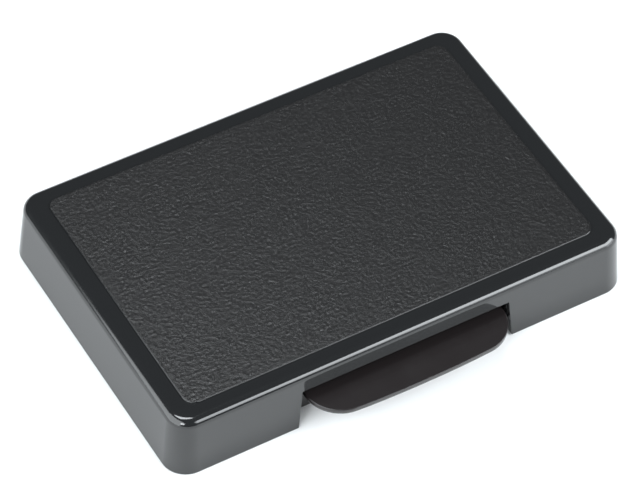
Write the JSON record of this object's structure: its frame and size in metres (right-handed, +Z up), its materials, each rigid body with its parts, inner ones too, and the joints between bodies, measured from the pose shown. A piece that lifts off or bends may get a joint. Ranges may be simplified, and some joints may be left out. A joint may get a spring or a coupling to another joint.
{
  "type": "ink pad cartridge",
  "caption": "Flat rectangular ink pad cartridge for a self-inking stamp: a tray with a finger tab, an ink pad held by a frame, and a lift-off protective cover.",
  "frame": {"origin": "centre of the cover's footprint, on the tray's flat underside, which is the surface it rests on", "axes": "+X along the cartridge's length, -Y towards the finger tab, +Z up out of the cover's top"},
  "size_m": [0.072, 0.0526, 0.0101],
  "materials": {
    "cover_plastic": "gloss moulded black, with a fine spark-eroded grain on the raised field",
    "tray_plastic": "satin moulded warm black",
    "frame_plastic": "satin moulded black",
    "inked_felt": "wool-like felt soaked with black ink",
    "inked_foam": "open-cell foam soaked with black ink",
    "inked_cloth": "fine plain-weave cloth, damp with black ink"
  },
  "bodies": {
    "tray": {"ink_tray": "tray_plastic", "reservoir_felt": "inked_felt", "surface_foam": "inked_foam", "pad_cloth": "inked_cloth", "retaining_frame": "frame_plastic"},
    "cover": {"protective_cover": "cover_plastic"}
  },
  "joints": [
    {"name": "cover_lift", "type": "slide", "parent": "tray", "child": "cover", "axis": [0, 0, 1], "range_m": [0, 0.03]}
  ]
}
